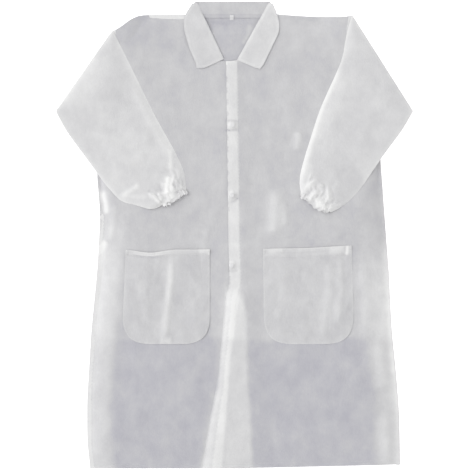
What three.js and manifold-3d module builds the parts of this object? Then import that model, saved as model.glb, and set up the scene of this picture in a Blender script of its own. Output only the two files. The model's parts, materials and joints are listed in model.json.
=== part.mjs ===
// A disposable nonwoven lab coat, laid flat on its back with the sleeves folded over the front.
// Millimetres. +Z is up out of the surface the coat lies on, +Y points from the hem to the collar,
// +X points to the wearer's left. The origin is under the middle of the whole coat.
// "left" and "right" in every name are the wearer's, so right is on the -X side.
import * as THREE from 'three';
import { mergeVertices } from 'three/addons/utils/BufferGeometryUtils.js';
import Module from 'manifold-3d';

// Driving dimensions of the whole coat
const LENGTH = 1100; // hem to the top of the turned collar
const WIDTH = 838; // across the two sleeve creases
const CLOTH = 0.8; // one ply, drawn thicker than the real 0.3 mm so that it is a usable solid
const CREASE_GAP = 0.5; // between a sleeve head and the sleeve folded back from it
const GAP = 0.3; // between pieces that are sewn or pressed together
const BODY_DEPTH = 12; // back to front, with the air that crisp nonwoven holds

// Heights of the layers, from the surface up
const BACK_Z = 0;
const FRONT_Z = BODY_DEPTH - CLOTH;
const RIGHT_FACING_Z = FRONT_Z - GAP - CLOTH;
const SLEEVE_Z = BODY_DEPTH + 1;
const COLLAR_LEAF_Z = BODY_DEPTH + GAP;
const COLLAR_STAND_Z = CLOTH + GAP;
const POCKET_ROOM = 5; // the hand space between a pocket and the front behind it

// Snap fasteners: a cap and a socket on the flap, a stud and a post on the right front
const SNAP_HEAD_R = 5.5;
const SNAP_RING_R = 4.5;
const SNAP_PIN_R = 1;
const SNAP_PIN_HOLE_R = 1.3;
const SNAP_CLOTH_HOLE_R = 1.4;
const SNAP_HEAD_DEPTH = 1.2;
const STUD_R = 1.8;
const SOCKET_HOLE_R = 2.2;
const SNAP_RINGS_DEPTH = 3.6; // stud and socket pressed together, between the two fronts
const SNAP_PITCH = 165;
const SNAP_COUNT = 3;
const TOP_SNAP = new THREE.Vector2(-5, 258);
const SNAP_DRIFT = -1; // each lower snap sits this much further across
const FACING_Z = BODY_DEPTH + SNAP_RINGS_DEPTH + GAP;
const FLAP_Z = FACING_Z + CLOTH + GAP;
const FACING_WIDTH = 26;
const ROUND_STEPS = 20;

// Cuff: an elastic loop in a turned hem
const CUFF_LENGTH = 12;
const ELASTIC_WIDTH = 8;
const ELASTIC_THICKNESS = 1;
const CUFF_LINING = 0.6;

const SEAM_ALLOWANCE = 8;
const POCKET_WALL = 1;

// Outlines in plan, from the middle of the coat
const HEM_Y = -LENGTH / 2;
const TOP_Y = LENGTH / 2;
const CREASE_X = WIDTH / 2;

const rightShoulder = points([-280, 482], [-273, 484], [-232, 517], [-100, 517]);
const leftShoulder = points([86, 519], [183, 512], [262, 512], [268, 514]);
const rightArmpit = new THREE.Vector2(-310, 262);
const leftArmpit = new THREE.Vector2(336, 266);
const rightArmhole = curvedEdge(rightShoulder[0], [-258, 370], rightArmpit);
const leftArmhole = curvedEdge(leftShoulder[3], [245, 380], leftArmpit);
const rightSide = points([-310, 262], [-324, 149], [-315, 47], [-322, -83], [-336, -224], [-346, -389],
  [-346, -484], [-339, HEM_Y]);
const leftSide = points([336, 266], [349, 94], [355, 7], [362, -83], [369, -224], [381, -342],
  [387, -425], [389, HEM_Y + 9]);

const rightNeckline = curvedEdge(rightShoulder[3], [-76, 450], new THREE.Vector2(-36, 409));
const leftNeckline = curvedEdge(new THREE.Vector2(17, 409), [60, 450], leftShoulder[0]);
const rightRoll = points([-88, 547], [-25, 413]); // where the collar turns over
const leftRoll = points([81, 547], [6, 411]);
const BACK_NECK_Y = 519;

const underEdge = points([8, 408], [15, -113], [30, -248], [37, HEM_Y]); // right front, lies below
const flapEdge = points([-20, 408], [-14, -20], [-12, -113], [-22, -150], [-37, -323], [-63, -460],
  [-75, HEM_Y]); // left front, laps over
const flapFold = points([12, 408], [74, HEM_Y + 2]); // the line the flap turns back on

const rightCrease = points([-287, 479], [-CREASE_X, 290]);
const leftCrease = points([277, 514], [CREASE_X, 290]);
const rightSleeveTop = points([-287, 479], [-242, 389], [-188, 278], [-148, 208], [-120, 141], [-116, 110]);
const rightSleeveUnder = points([-CREASE_X, 290], [-397, 247], [-324, 149], [-298, 111], [-266, 85],
  [-223, 71], [-186, 66], [-171, 73]);
const leftSleeveTop = points([277, 514], [264, 472], [256, 413], [202, 295], [166, 182], [151, 125],
  [157, 101]);
const leftSleeveUnder = points([CREASE_X, 290], [395, 248], [341, 177], [301, 116], [273, 83], [244, 61],
  [225, 57]);

const nonwoven = 0xcfcfd2;
const whitePlastic = 0xf0f0f0;
const elasticWhite = 0xf6f6f6;
const labelWhite = 0xffffff;

function points(...pairs) {
  return pairs.map(([x, y]) => new THREE.Vector2(x, y));
}

function curvedEdge(start, control, end) {
  const curve = new THREE.QuadraticBezierCurve(start, new THREE.Vector2(...control), end);
  return curve.getPoints(8);
}

// An open edge moved sideways by a distance, to its left when that is positive
function movedSideways(edge, distance) {
  return edge.map((point, i) => {
    const before = edge[Math.max(i - 1, 0)];
    const after = edge[Math.min(i + 1, edge.length - 1)];
    const along = after.clone().sub(before).normalize();
    return point.clone().add(new THREE.Vector2(-along.y, along.x).multiplyScalar(distance));
  });
}

// An open edge made longer at both ends, so that a cut along it breaks through
function lengthened(edge, extra) {
  const start = edge[0].clone().add(edge[0].clone().sub(edge[1]).setLength(extra));
  const last = edge.length - 1;
  const end = edge[last].clone().add(edge[last].clone().sub(edge[last - 1]).setLength(extra));
  return [start, ...edge, end];
}

function roundHole(centre, radius) {
  const hole = new THREE.Path();
  hole.absarc(centre.x, centre.y, radius, 0, 2 * Math.PI, true);
  return hole;
}

function slab(outline, depth, holes = []) {
  const turn = THREE.ShapeUtils.isClockWise(outline) ? [...outline].reverse() : outline;
  const shape = new THREE.Shape(turn);
  shape.holes.push(...holes);
  return new THREE.ExtrudeGeometry(shape, { depth, bevelEnabled: false, curveSegments: ROUND_STEPS });
}

const coat = new THREE.Group();

function addPiece(name, geometry, colour, z = 0) {
  const material = new THREE.MeshStandardMaterial({ color: colour, roughness: 0.75, metalness: 0 });
  const mesh = new THREE.Mesh(geometry, material);
  mesh.name = name;
  mesh.position.z = z;
  coat.add(mesh);
  return mesh;
}

// Booleans: cuts run on merged, position-only copies of the geometry
const wasm = await Module();
wasm.setup();

function solidOf(geometry) {
  const bare = geometry.index ? geometry.toNonIndexed() : geometry.clone();
  bare.deleteAttribute('normal');
  bare.deleteAttribute('uv');
  const merged = mergeVertices(bare, 1e-3);
  const vertProperties = merged.attributes.position.array;
  const triVerts = new Uint32Array(merged.index.array);
  return new wasm.Manifold(new wasm.Mesh({ numProp: 3, vertProperties, triVerts }));
}

function geometryOf(solid) {
  const mesh = solid.getMesh();
  const geometry = new THREE.BufferGeometry();
  geometry.setAttribute('position', new THREE.BufferAttribute(mesh.vertProperties, 3));
  geometry.setIndex(new THREE.BufferAttribute(mesh.triVerts, 1));
  return geometry;
}

function cutAway(geometry, ...cutters) {
  const left = cutters.reduce((solid, cutter) => solid.subtract(solidOf(cutter)), solidOf(geometry));
  return geometryOf(left);
}

// A flattened cloth tube: open at both ends, closed along its two long edges
function flatTube(edgeA, edgeB, depth) {
  const outer = slab([...edgeA, ...[...edgeB].reverse()], depth);
  const side = Math.sign(edgeB[0].clone().sub(edgeA[0]).cross(edgeA[1].clone().sub(edgeA[0])));
  const roomA = lengthened(movedSideways(edgeA, -side * CLOTH), 2 * BODY_DEPTH);
  const roomB = lengthened(movedSideways(edgeB, side * CLOTH), 2 * BODY_DEPTH);
  const room = slab([...roomA, ...roomB.reverse()], depth - 2 * CLOTH).translate(0, 0, CLOTH);
  return cutAway(outer, room);
}

// Snap centres, top to bottom
const snaps = [];
for (let i = 0; i < SNAP_COUNT; i++) {
  snaps.push(new THREE.Vector2(TOP_SNAP.x + i * SNAP_DRIFT, TOP_SNAP.y - i * SNAP_PITCH));
}
const snapHoles = () => snaps.map((centre) => roundHole(centre, SNAP_CLOTH_HOLE_R));

function makeBack() {
  const neck = points([-100, 517], [-80, BACK_NECK_Y - 1], [70, BACK_NECK_Y - 1], [86, 519]);
  const outline = [...rightShoulder, ...neck.slice(1, 3), ...leftShoulder, ...leftArmhole.slice(1),
    ...leftSide.slice(1), ...[...rightSide].reverse(), ...[...rightArmhole].reverse().slice(1, -1)];
  addPiece('back_panel', slab(outline, CLOTH), nonwoven, BACK_Z);
}

function makeFronts() {
  const right = [...rightNeckline, ...underEdge, ...[...rightSide].reverse(),
    ...[...rightArmhole].reverse().slice(1), ...rightShoulder.slice(1, -1)];
  addPiece('right_front_panel', slab(right, CLOTH, snapHoles()), nonwoven, FRONT_Z);
  const left = [...leftNeckline, ...leftShoulder.slice(1), ...leftArmhole.slice(1), ...leftSide.slice(1),
    ...[...flapFold].reverse()];
  addPiece('left_front_panel', slab(left, CLOTH), nonwoven, FRONT_Z);
  const flap = [...flapEdge, ...[...flapFold].reverse()];
  addPiece('left_front_flap', slab(flap, CLOTH, snapHoles()), nonwoven, FLAP_Z);
}

// The doubled strips that carry the snaps, turned to the inside of each front
function makeFacings() {
  const aboveHem = (point) => new THREE.Vector2(point.x, Math.max(point.y, HEM_Y));
  const leftStrip = [...flapEdge, ...movedSideways(flapEdge, FACING_WIDTH).reverse()].map(aboveHem);
  addPiece('left_placket_facing', slab(leftStrip, CLOTH, snapHoles()), nonwoven, FACING_Z);
  const rightStrip = [...underEdge, ...movedSideways(underEdge, -FACING_WIDTH).reverse()].map(aboveHem);
  addPiece('right_placket_facing', slab(rightStrip, CLOTH, snapHoles()), nonwoven, RIGHT_FACING_Z);
}

// Overlocked seams: the standing seam allowances that hold the back and the fronts together
function makeSeams() {
  const low = CLOTH + GAP;
  const depth = FRONT_Z - GAP - low;
  const seams = {
    right_side_seam: [rightSide, SEAM_ALLOWANCE],
    left_side_seam: [leftSide, -SEAM_ALLOWANCE],
    right_shoulder_seam: [rightShoulder.slice(1), -SEAM_ALLOWANCE],
    left_shoulder_seam: [leftShoulder.slice(0, 3), -SEAM_ALLOWANCE],
  };
  for (const [name, [edge, width]] of Object.entries(seams)) {
    const strip = [...edge, ...movedSideways(edge, width).reverse()];
    addPiece(name, slab(strip, depth), nonwoven, low);
  }
  const tape = points([-80, 512], [70, 512], [72, BACK_NECK_Y - 1], [-82, BACK_NECK_Y - 1]);
  addPiece('neck_seam_tape', slab(tape, CLOTH), nonwoven, CLOTH + GAP);
}

// Each sleeve is a tube in two lengths that meet at the crease: the head stays with the body and the
// rest lies folded back over the front.
function makeSleeves() {
  const rightHead = [movedSideways(rightArmhole, -GAP), [rightCrease[0], rightCrease[1]]];
  const leftHead = [movedSideways(leftArmhole, GAP), [leftCrease[0], leftCrease[1]]];
  addPiece('right_sleeve_head', sleeveHead(...rightHead), nonwoven);
  addPiece('left_sleeve_head', sleeveHead(...leftHead), nonwoven);
  for (const [side, crease, top, under] of [
    ['right', rightCrease, rightSleeveTop, rightSleeveUnder],
    ['left', leftCrease, leftSleeveTop, leftSleeveUnder],
  ]) {
    const along = crease[1].clone().sub(crease[0]).setLength(CREASE_GAP);
    const inward = side === 'right' ? new THREE.Vector2(-along.y, along.x) : new THREE.Vector2(along.y, -along.x);
    const clearOfCrease = (edge) => [edge[0].clone().add(inward), ...edge.slice(1)];
    const tube = flatTube(clearOfCrease(top), clearOfCrease(under), BODY_DEPTH);
    addPiece(`${side}_sleeve`, tube, nonwoven, SLEEVE_Z);
  }
}

// The head is open along the armhole and along the crease, and closed under the arm
function sleeveHead(armhole, crease) {
  const armpit = armhole[armhole.length - 1];
  const outer = slab([...armhole, crease[1], crease[0]], BODY_DEPTH);
  const underarm = crease[1].clone().sub(armpit).normalize();
  const inward = armhole[0].clone().sub(armpit).normalize().multiplyScalar(CLOTH * 1.5);
  const reach = underarm.clone().multiplyScalar(3 * BODY_DEPTH);
  const floorStart = armpit.clone().sub(reach).add(inward);
  const floorEnd = crease[1].clone().add(reach).add(inward);
  const top = armhole[0].clone().add(inward.clone().setLength(3 * BODY_DEPTH));
  const far = reach.clone().setLength(WIDTH / 2);
  const room = slab([floorStart, floorEnd, top.clone().add(far), top.clone().sub(far)],
    BODY_DEPTH - 2 * CLOTH).translate(0, 0, CLOTH);
  return cutAway(outer, room);
}

function stadium(width, height) {
  const half = Math.max(width - height, 0) / 2;
  const shape = new THREE.Shape();
  shape.absarc(half, 0, height / 2, -Math.PI / 2, Math.PI / 2);
  shape.absarc(-half, 0, height / 2, Math.PI / 2, (3 * Math.PI) / 2);
  return shape;
}

// A ring of stadium section, along its own +Z
function stadiumBar(width, height, depth) {
  return new THREE.ExtrudeGeometry(stadium(width, height), { depth, bevelEnabled: false, curveSegments: 6 });
}

// The cuff sits across the end of its sleeve, between the ends of the sleeve's two edges
function makeCuff(side, topEnd, underEnd) {
  const across = underEnd.clone().sub(topEnd);
  const middle = topEnd.clone().add(underEnd).multiplyScalar(0.5);
  const width = across.length();
  const place = new THREE.Group();
  const turnIn = side === 'right' ? 1 : -1;
  const out = new THREE.Vector3(across.y, -across.x, 0).normalize().multiplyScalar(-turnIn);
  const acrossAxis = new THREE.Vector3(across.x, across.y, 0).normalize();
  const basis = new THREE.Matrix4().makeBasis(acrossAxis, new THREE.Vector3().crossVectors(out, acrossAxis), out);
  place.quaternion.setFromRotationMatrix(basis);
  place.position.set(middle.x, middle.y, SLEEVE_Z + BODY_DEPTH / 2).addScaledVector(out, GAP);
  coat.add(place);

  const inset = (amount, depth) => stadiumBar(width - 2 * amount, BODY_DEPTH - 2 * amount, depth);
  const elasticIn = CLOTH + GAP;
  const liningIn = elasticIn + ELASTIC_THICKNESS + GAP;
  const handIn = liningIn + CUFF_LINING;
  const channelLength = CUFF_LENGTH - CLOTH;
  const shell = solidOf(inset(0, CUFF_LENGTH));
  const channel = solidOf(inset(CLOTH, channelLength + 1).translate(0, 0, -1));
  const lining = solidOf(inset(liningIn, CUFF_LENGTH));
  const hand = solidOf(inset(handIn, CUFF_LENGTH + 2).translate(0, 0, -1));
  const casing = shell.subtract(channel).add(lining).subtract(hand);
  const casingMesh = addPiece(`${side}_cuff_casing`, geometryOf(casing), nonwoven);
  const loop = solidOf(inset(elasticIn, ELASTIC_WIDTH))
    .subtract(solidOf(inset(elasticIn + ELASTIC_THICKNESS, ELASTIC_WIDTH + 2).translate(0, 0, -1)));
  const elasticMesh = addPiece(`${side}_cuff_elastic`, geometryOf(loop), elasticWhite,
    (channelLength - ELASTIC_WIDTH) / 2);
  place.add(casingMesh, elasticMesh);
}

// A patch pocket: a top wall on three low side walls, open along its mouth
function makePocket(name, corners, radius) {
  const [mouthRight, mouthLeft, footLeft, footRight] = corners;
  const outer = pocketShape(mouthRight, mouthLeft, footLeft, footRight, radius);
  const grow = (corner, dx, dy) => corner.clone().add(new THREE.Vector2(dx, dy));
  const inner = pocketShape(grow(mouthRight, POCKET_WALL, 10), grow(mouthLeft, -POCKET_WALL, 10),
    grow(footLeft, -POCKET_WALL, POCKET_WALL), grow(footRight, POCKET_WALL, POCKET_WALL), radius - POCKET_WALL);
  const options = (depth) => ({ depth, bevelEnabled: false, curveSegments: 8 });
  const patch = new THREE.ExtrudeGeometry(outer, options(POCKET_ROOM - GAP + CLOTH));
  const room = new THREE.ExtrudeGeometry(inner, options(POCKET_ROOM)).translate(0, 0, -GAP);
  addPiece(name, cutAway(patch, room), nonwoven, BODY_DEPTH + GAP);
}

function pocketShape(mouthRight, mouthLeft, footLeft, footRight, radius) {
  const shape = new THREE.Shape();
  shape.moveTo(mouthRight.x, mouthRight.y);
  shape.lineTo(footRight.x, footRight.y + radius);
  shape.quadraticCurveTo(footRight.x, footRight.y, footRight.x + radius, footRight.y);
  shape.lineTo(footLeft.x - radius, footLeft.y);
  shape.quadraticCurveTo(footLeft.x, footLeft.y, footLeft.x, footLeft.y + radius);
  shape.lineTo(mouthLeft.x, mouthLeft.y);
  return shape;
}

// The collar turns over along its roll lines: a stand inside, and a fall or a leaf outside
function makeCollar() {
  const rightStand = [...rightRoll, ...movedSideways(rightNeckline, GAP).reverse()];
  const leftStand = [...leftRoll, ...movedSideways(leftNeckline, GAP)];
  addPiece('right_collar_stand', slab(rightStand, CLOTH), nonwoven, FRONT_Z);
  addPiece('left_collar_stand', slab(leftStand, CLOTH), nonwoven, FRONT_Z);
  const rightLeaf = points([-88, 547], [-100, 544], [-113, 524], [-120, 510], [-119, 484], [-107, 440],
    [-91, 404], [-89, 392], [-70, 392], [-25, 413]);
  const leftLeaf = points([81, 547], [91, 543], [101, 517], [106, 498], [105, 478], [99, 464], [66, 396],
    [60, 390], [52, 391], [6, 411]);
  addPiece('right_collar_leaf', slab(rightLeaf, CLOTH), nonwoven, COLLAR_LEAF_Z);
  addPiece('left_collar_leaf', slab(leftLeaf, CLOTH), nonwoven, COLLAR_LEAF_Z);
  const neckGap = BACK_NECK_Y + GAP;
  const fall = points([-112, neckGap], [-112, 528], [-92, TOP_Y], [84, TOP_Y], [100, 528], [100, neckGap]);
  const stand = points([-86, TOP_Y - 1], [80, TOP_Y - 1], [72, neckGap], [-80, neckGap]);
  addPiece('collar_back_fall', slab(fall, CLOTH), nonwoven, 0);
  addPiece('collar_back_stand', slab(stand, CLOTH), nonwoven, COLLAR_STAND_Z);
  const label = points([-11, 500], [-2, 500], [-2, 517], [-11, 517]);
  addPiece('size_label', slab(label, CLOTH), labelWhite, COLLAR_STAND_Z + CLOTH + GAP);
}

// Each turned snap part is a lathe profile of (radius, height), stood up along +Z
function turned(profile) {
  const outline = profile.map(([radius, height]) => new THREE.Vector2(radius, height));
  return new THREE.LatheGeometry(outline, ROUND_STEPS).rotateX(Math.PI / 2);
}

function makeSnap(number, centre) {
  const studZ = BODY_DEPTH + GAP;
  const ringDepth = 0.8;
  const nubTop = studZ + 2.3;
  const socketZ = studZ + ringDepth + GAP;
  const socketTop = FACING_Z - GAP;
  const capZ = FLAP_Z + CLOTH + GAP;
  const postTop = RIGHT_FACING_Z - GAP;
  const parts = {
    cap: [[0, socketTop - 0.2], [SNAP_PIN_R, socketTop - 0.2], [SNAP_PIN_R, capZ], [SNAP_HEAD_R, capZ],
      [SNAP_HEAD_R, capZ + SNAP_HEAD_DEPTH * 0.6], [SNAP_HEAD_R - 1.5, capZ + SNAP_HEAD_DEPTH],
      [0, capZ + SNAP_HEAD_DEPTH]],
    socket: [[SNAP_PIN_HOLE_R, socketTop - 0.4], [SOCKET_HOLE_R, socketTop - 0.4],
      [SOCKET_HOLE_R, socketZ], [SNAP_RING_R, socketZ], [SNAP_RING_R, socketTop],
      [SNAP_PIN_HOLE_R, socketTop], [SNAP_PIN_HOLE_R, socketTop - 0.4]],
    stud: [[0, nubTop - 0.6], [SNAP_PIN_HOLE_R, nubTop - 0.6], [SNAP_PIN_HOLE_R, studZ],
      [SNAP_RING_R, studZ], [SNAP_RING_R, studZ + ringDepth], [STUD_R, studZ + ringDepth],
      [STUD_R, nubTop], [0, nubTop]],
    post: [[0, postTop - SNAP_HEAD_DEPTH], [SNAP_HEAD_R - 1.5, postTop - SNAP_HEAD_DEPTH],
      [SNAP_HEAD_R, postTop - SNAP_HEAD_DEPTH * 0.6], [SNAP_HEAD_R, postTop], [SNAP_PIN_R, postTop],
      [SNAP_PIN_R, nubTop - 0.9], [0, nubTop - 0.9]],
  };
  for (const [part, profile] of Object.entries(parts)) {
    const mesh = addPiece(`snap_${number}_${part}`, turned(profile), whitePlastic);
    mesh.position.set(centre.x, centre.y, 0);
  }
}

makeBack();
makeFronts();
makeFacings();
makeSeams();
makeSleeves();
makeCuff('right', rightSleeveTop[5], rightSleeveUnder[7]);
makeCuff('left', leftSleeveTop[6], leftSleeveUnder[6]);
makePocket('right_pocket', points([-256, -36], [-58, -34], [-58, -257], [-263, -257]), 60);
makePocket('left_pocket', points([67, -33], [276, -25], [280, -257], [69, -257]), 62);
makeCollar();
snaps.forEach((centre, i) => makeSnap(i + 1, centre));

export default coat;
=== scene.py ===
import json
import math

import bmesh
import bpy
import numpy as np
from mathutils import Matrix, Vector, geometry


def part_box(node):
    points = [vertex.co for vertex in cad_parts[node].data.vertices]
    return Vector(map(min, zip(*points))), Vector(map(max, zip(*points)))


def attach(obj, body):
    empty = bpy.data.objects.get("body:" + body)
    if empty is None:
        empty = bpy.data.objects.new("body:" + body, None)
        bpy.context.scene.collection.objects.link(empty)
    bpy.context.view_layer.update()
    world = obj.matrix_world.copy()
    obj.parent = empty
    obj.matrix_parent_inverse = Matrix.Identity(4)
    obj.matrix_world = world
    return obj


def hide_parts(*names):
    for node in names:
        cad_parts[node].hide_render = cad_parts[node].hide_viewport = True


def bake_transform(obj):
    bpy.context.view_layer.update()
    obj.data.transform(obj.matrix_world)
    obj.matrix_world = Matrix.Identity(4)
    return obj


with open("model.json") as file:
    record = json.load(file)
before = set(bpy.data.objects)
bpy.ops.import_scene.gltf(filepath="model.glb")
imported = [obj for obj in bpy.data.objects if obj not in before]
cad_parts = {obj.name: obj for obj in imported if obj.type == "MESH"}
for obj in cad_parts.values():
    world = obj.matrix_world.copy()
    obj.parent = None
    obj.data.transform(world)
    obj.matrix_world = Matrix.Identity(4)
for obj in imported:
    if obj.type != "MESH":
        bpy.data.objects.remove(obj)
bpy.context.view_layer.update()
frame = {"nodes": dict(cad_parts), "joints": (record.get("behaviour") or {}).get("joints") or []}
nodes = frame["nodes"]
print("frame loaded:", len(nodes), "nodes")

mm = 0.001
sides = ("right", "left")


def addNode(tree, kind, inputs=(), **settings):
    node = tree.nodes.new(kind)
    for name, value in settings.items():
        setattr(node, name, value)
    for name, value in dict(inputs).items():
        node.inputs[name].default_value = value
    return node


def wire(tree, *wires):  # each one: a node, its output, the next node, its input
    for source, output, target, entry in wires:
        tree.links.new(source.outputs[output], target.inputs[entry])


def addSockets(tree, direction, kind, values):
    for name, value in values.items():
        socket = tree.interface.new_socket(name=name, in_out=direction, socket_type=kind)
        if value is not None:
            socket.default_value = value


def newMaterial(name, inputs):
    material = bpy.data.materials.new(name)
    material.use_nodes = True
    shader = material.node_tree.nodes["Principled BSDF"]
    for entry, value in inputs.items():
        shader.inputs[entry].default_value = value
    return material, material.node_tree, shader


# camera, light and floor

view = {"height": 8.0, "width": 1.1060, "centre": (0.0012, -0.0006), "level": 0.006, "far": 50}
lights = {
    "key": {"towards": (1.0, -0.22, -0.62), "softness": 64, "strength": 1.55},
    "top": {"towards": (-0.15, -0.1, -1.0), "softness": 120, "strength": 0.25},
    "world": 0.655,
}
floorLook = {"size": 12.0, "drop": 0.0006, "colour": (0.9, 0.9, 0.9, 1), "roughness": 0.9, "glow": 0.72}


def makeCamera():
    camera = bpy.data.objects.new("camera", bpy.data.cameras.new("camera"))
    camera.location = (*view["centre"], view["height"])
    camera.data.sensor_fit = "HORIZONTAL"
    camera.data.angle = 2 * math.atan(view["width"] / 2 / (view["height"] - view["level"]))
    camera.data.clip_end = view["far"]
    bpy.context.collection.objects.link(camera)
    bpy.context.scene.camera = camera


def makeLight(name, towards, softness, strength):  # a far, broad lamp
    data = bpy.data.lights.new(name, "SUN")
    data.angle = math.radians(softness)
    data.energy = strength
    light = bpy.data.objects.new(name, data)
    light.location = -2 * Vector(towards).normalized()
    light.rotation_euler = Vector(towards).to_track_quat("-Z", "Y").to_euler()
    bpy.context.collection.objects.link(light)


def makeFloor():
    bpy.ops.mesh.primitive_plane_add(size=floorLook["size"], location=(0, 0, -floorLook["drop"]))
    floor = bpy.context.object
    floor.name = "floor"
    material = newMaterial("paleFloor", {
        "Base Color": floorLook["colour"],
        "Roughness": floorLook["roughness"],
        "Emission Color": (1, 1, 1, 1),
        "Emission Strength": floorLook["glow"],
    })[0]
    floor.data.materials.append(material)


scene = bpy.context.scene
scene.view_settings.view_transform = "Standard"
scene.view_settings.look = "None"
world = bpy.data.worlds.new("studio")
world.use_nodes = True
studio = world.node_tree.nodes["Background"]
studio.inputs["Color"].default_value = (1, 1, 1, 1)
studio.inputs["Strength"].default_value = lights["world"]
scene.world = world
makeCamera()
for lightName in ("key", "top"):
    makeLight(lightName, **lights[lightName])
makeFloor()
print("camera, lights and floor ready")

# materials

nonwovenLook = {
    "plies": [(0.0, (0.475, 0.472, 0.519)), (0.12, (0.522, 0.520, 0.557)),  # one ply lets the dark through
              (0.30, (0.594, 0.592, 0.607)), (1.0, (0.87, 0.87, 0.866))],  # many plies
    "cloudSize": 0.036,
    "cloudAmount": 0.095,
    "grainSize": 0.0045,
    "grainAmount": 0.05,
    "bondPitch": 0.0018,
    "roughness": 0.62,
    "sheen": 0.12,
    "gloss": 0.32,
    "relief": 0.0006,
}


def makeFibreGroup():  # mottling, fibres and bond points of a spunbond cloth
    tree = bpy.data.node_groups.new("spunbondFibre", "ShaderNodeTree")
    sizes = {"Cloud Size": 0.03, "Grain Size": 0.004, "Bond Pitch": 0.0018}
    addSockets(tree, "INPUT", "NodeSocketFloat", sizes)
    addSockets(tree, "OUTPUT", "NodeSocketFloat", {"Cloud": None, "Grain": None, "Height": None})
    inputs, outputs = addNode(tree, "NodeGroupInput"), addNode(tree, "NodeGroupOutput")
    place = addNode(tree, "ShaderNodeTexCoord")

    def scaleFor(size):  # a texture's scale is one over its size
        node = addNode(tree, "ShaderNodeMath", {0: 1.0}, operation="DIVIDE")
        wire(tree, (inputs, size, node, 1))
        return node

    def noise(size, detail, stretch):
        mapping = addNode(tree, "ShaderNodeMapping", {"Scale": stretch})
        node = addNode(tree, "ShaderNodeTexNoise", {"Detail": detail, "Roughness": 0.62})
        wire(tree, (place, "Object", mapping, "Vector"), (mapping, "Vector", node, "Vector"),
             (scaleFor(size), 0, node, "Scale"))
        return node

    cloud = noise("Cloud Size", 5, (1, 0.8, 1))
    grain = noise("Grain Size", 3, (1.5, 0.7, 1))
    bond = addNode(tree, "ShaderNodeTexVoronoi", {"Randomness": 0.12})
    dent = addNode(tree, "ShaderNodeMapRange", {"From Min": 0.12, "From Max": 0.38})
    dent.interpolation_type = "SMOOTHSTEP"
    mix = addNode(tree, "ShaderNodeMath", {1: 0.35}, operation="MULTIPLY_ADD")
    wire(tree, (place, "Object", bond, "Vector"), (scaleFor("Bond Pitch"), 0, bond, "Scale"),
         (bond, "Distance", dent, "Value"), (dent, "Result", mix, 0), (grain, "Fac", mix, 2),
         (cloud, "Fac", outputs, "Cloud"), (grain, "Fac", outputs, "Grain"), (mix, 0, outputs, "Height"))
    return tree


fibreGroup = makeFibreGroup()


def makeNonwoven(name, plies, bump):
    material, tree, shader = newMaterial(name, {
        "Roughness": nonwovenLook["roughness"],
        "Sheen Weight": nonwovenLook["sheen"],
        "Specular IOR Level": nonwovenLook["gloss"],
    })
    fibre = addNode(tree, "ShaderNodeGroup", {
        "Cloud Size": nonwovenLook["cloudSize"],
        "Grain Size": nonwovenLook["grainSize"],
        "Bond Pitch": nonwovenLook["bondPitch"],
    }, node_tree=fibreGroup)
    # this attribute carries the count of plies together with painted highlights and painted shade
    plyAndLight = addNode(tree, "ShaderNodeAttribute", attribute_name="plyAndLight")
    cloud, grain = nonwovenLook["cloudAmount"], nonwovenLook["grainAmount"]
    middle = -cloud * 3 - grain * 2  # brings the mean of the mottling back to the tone set by the plies and the painted light
    tone = addNode(tree, "ShaderNodeMath", {1: 1.0, 2: middle}, operation="MULTIPLY_ADD")
    grainy = addNode(tree, "ShaderNodeMath", {1: grain * 4}, operation="MULTIPLY_ADD")
    cloudy = addNode(tree, "ShaderNodeMath", {1: cloud * 6}, operation="MULTIPLY_ADD")
    colour = addNode(tree, "ShaderNodeValToRGB")
    stops = colour.color_ramp.elements
    stops[0].position, stops[1].position = plies[0][0], plies[-1][0]
    stops[0].color, stops[1].color = (*plies[0][1], 1), (*plies[-1][1], 1)
    for place, shade in plies[1:-1]:
        stops.new(place).color = (*shade, 1)
    relief = addNode(tree, "ShaderNodeBump", {"Strength": bump, "Distance": nonwovenLook["relief"]})
    wire(tree, (plyAndLight, "Fac", tone, 0), (fibre, "Grain", grainy, 0), (tone, 0, grainy, 2),
         (fibre, "Cloud", cloudy, 0), (grainy, 0, cloudy, 2), (cloudy, 0, colour, "Fac"),
         (colour, "Color", shader, "Base Color"), (fibre, "Height", relief, "Height"),
         (relief, "Normal", shader, "Normal"))
    return material


plasticLook = {
    "colour": (0.77, 0.77, 0.78, 1),
    "roughness": 0.34,
    "grain": 900,
    "bump": 0.15,
    "relief": 0.0002,
}


def makePlastic():
    material, tree, shader = newMaterial("snapPlastic", {
        "Base Color": plasticLook["colour"],
        "Roughness": plasticLook["roughness"],
    })
    place = addNode(tree, "ShaderNodeTexCoord")
    noise = addNode(tree, "ShaderNodeTexNoise", {"Scale": plasticLook["grain"]})
    bump = {"Strength": plasticLook["bump"], "Distance": plasticLook["relief"]}
    relief = addNode(tree, "ShaderNodeBump", bump)
    wire(tree, (place, "Object", noise, "Vector"), (noise, "Fac", relief, "Height"),
         (relief, "Normal", shader, "Normal"))
    return material


threadLook = {"dark": (0.74, 0.74, 0.75, 1), "light": (0.92, 0.92, 0.92, 1), "roughness": 0.7, "grain": 700}


def makeThread():
    material, tree, shader = newMaterial("thread", {"Roughness": threadLook["roughness"]})
    place = addNode(tree, "ShaderNodeTexCoord")
    noise = addNode(tree, "ShaderNodeTexNoise", {"Scale": threadLook["grain"]})
    shade = addNode(tree, "ShaderNodeMix", data_type="RGBA")
    shade.inputs["A"].default_value = threadLook["dark"]
    shade.inputs["B"].default_value = threadLook["light"]
    wire(tree, (place, "Object", noise, "Vector"), (noise, "Fac", shade, "Factor"),
         (shade, "Result", shader, "Base Color"))
    return material


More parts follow.
